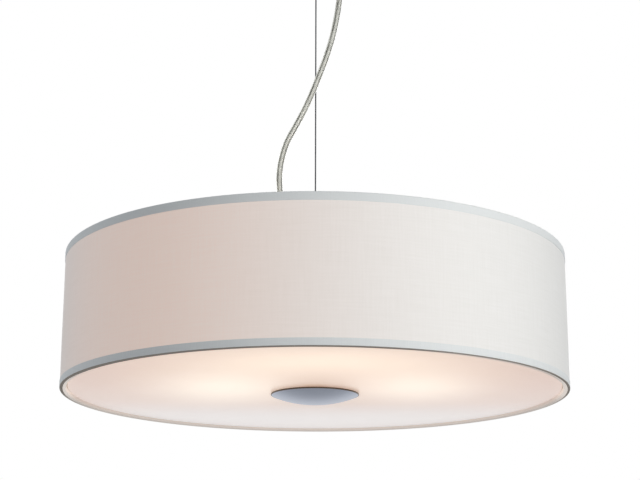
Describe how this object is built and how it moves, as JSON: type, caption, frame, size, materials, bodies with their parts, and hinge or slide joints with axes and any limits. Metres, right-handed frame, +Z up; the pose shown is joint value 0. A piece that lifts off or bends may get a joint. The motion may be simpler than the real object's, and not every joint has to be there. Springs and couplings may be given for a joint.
{
  "type": "pendant light",
  "caption": "Round drum pendant light: fabric shade over an opal diffuser with a domed cap, hung by a steel wire beside a clear cord, with bulbs on a hub inside.",
  "frame": {"origin": "middle of the ceiling bracket's flat top face, where the light is fixed to the ceiling", "axes": "+Z points up into the ceiling; X runs along the ceiling bracket; -Y is the side the picture is taken from, and one bulb points that way"},
  "size_m": [0.5, 0.5, 0.4905],
  "materials": {
    "nickel_plate": "polished nickel plate on steel and brass",
    "satin_nickel": "satin nickel plate on spun steel",
    "zinc_plated_steel": "bright zinc plate on pressed steel",
    "stainless_steel": "stranded stainless steel wire rope",
    "brass": "turned brass",
    "white_enamel": "white powder coat on spun steel",
    "white_wire": "white coated steel wire",
    "white_plastic": "moulded white thermoplastic",
    "clear_plastic": "clear PVC over silvery tinned strands",
    "styrene_liner": "white styrene shade liner",
    "cotton_fabric": "off-white plain weave cotton",
    "trim_tape": "pale blue-grey folded edging tape",
    "opal_acrylic": "frosted opal acrylic",
    "opal_globe": "opal plastic bulb, lit warm white",
    "fibre_washer": "vulcanised red-brown fibre",
    "brown_core": "brown core insulation",
    "blue_core": "blue core insulation",
    "green_core": "green and yellow core insulation"
  },
  "bodies": {
    "canopy": {"ceiling_bracket": "zinc_plated_steel", "canopy_cup": "nickel_plate", "canopy_screw_left": "nickel_plate", "canopy_screw_right": "nickel_plate", "cable_gripper": "nickel_plate", "gripper_nut": "zinc_plated_steel", "canopy_cord_grip": "clear_plastic", "canopy_grip_nut": "white_plastic", "mains_terminal": "white_plastic", "supply_live": "brown_core", "supply_neutral": "blue_core", "supply_earth": "green_core"},
    "lamp": {"wire_coupling": "nickel_plate", "top_nut": "nickel_plate", "lock_washer": "zinc_plated_steel", "lower_nut": "zinc_plated_steel", "diffuser_stop_nut": "zinc_plated_steel", "holder_bracket_1": "zinc_plated_steel", "holder_bracket_2": "zinc_plated_steel", "holder_bracket_3": "zinc_plated_steel", "holder_screw_1": "zinc_plated_steel", "holder_screw_2": "zinc_plated_steel", "holder_screw_3": "zinc_plated_steel", "suspension_wire": "stainless_steel", "wire_ball": "stainless_steel", "wire_ferrule": "stainless_steel", "threaded_rod": "brass", "hub_cup": "white_enamel", "hub_plate": "white_enamel", "shade_spider": "white_wire", "bottom_hoop": "white_wire", "hub_grip_nut": "white_plastic", "hub_terminal": "white_plastic", "lampholder_1": "white_plastic", "lampholder_2": "white_plastic", "lampholder_3": "white_plastic", "hub_cord_grip": "clear_plastic", "power_cord": "clear_plastic", "holder_lead_1": "clear_plastic", "holder_lead_2": "clear_plastic", "holder_lead_3": "clear_plastic", "shade_liner": "styrene_liner", "shade_fabric": "cotton_fabric", "top_trim": "trim_tape", "bottom_trim": "trim_tape", "hub_live": "brown_core", "hub_neutral": "blue_core", "hub_earth": "green_core"},
    "diffuser": {"diffuser_disc": "opal_acrylic", "diffuser_washer": "fibre_washer"},
    "finial": {"finial_cap": "satin_nickel", "finial_boss": "brass"},
    "bulb_1": {"bulb_cap_1": "nickel_plate", "bulb_globe_1": "opal_globe"},
    "bulb_2": {"bulb_cap_2": "nickel_plate", "bulb_globe_2": "opal_globe"},
    "bulb_3": {"bulb_cap_3": "nickel_plate", "bulb_globe_3": "opal_globe"}
  },
  "joints": [
    {"name": "swing", "type": "hinge", "parent": "canopy", "child": "lamp", "pos_m": [0, 0, -0.0415], "axis": [0, 1, 0], "range_deg": [-12, 12], "deforming": ["power_cord"]},
    {"name": "diffuser_lower", "type": "slide", "parent": "lamp", "child": "diffuser", "axis": [0, 0, -1], "range_m": [0, 0.012]},
    {"name": "finial_turn", "type": "hinge", "parent": "diffuser", "child": "finial", "pos_m": [0, 0, -0.482], "axis": [0, 0, -1], "range_deg": [0, 4320]},
    {"name": "bulb_turn_1", "type": "hinge", "parent": "lamp", "child": "bulb_1", "pos_m": [0, 0, -0.4144], "axis": [0.866, 0.5, 0], "range_deg": [0, 1080]},
    {"name": "bulb_turn_2", "type": "hinge", "parent": "lamp", "child": "bulb_2", "pos_m": [0, 0, -0.4144], "axis": [-0.866, 0.5, 0], "range_deg": [0, 1080]},
    {"name": "bulb_turn_3", "type": "hinge", "parent": "lamp", "child": "bulb_3", "pos_m": [0, 0, -0.4144], "axis": [0, -1, 0], "range_deg": [0, 1080]}
  ],
  "couplings": [
    {"joint": "finial_turn", "follows": "diffuser_lower", "rad_per_m": 6283.2}
  ]
}
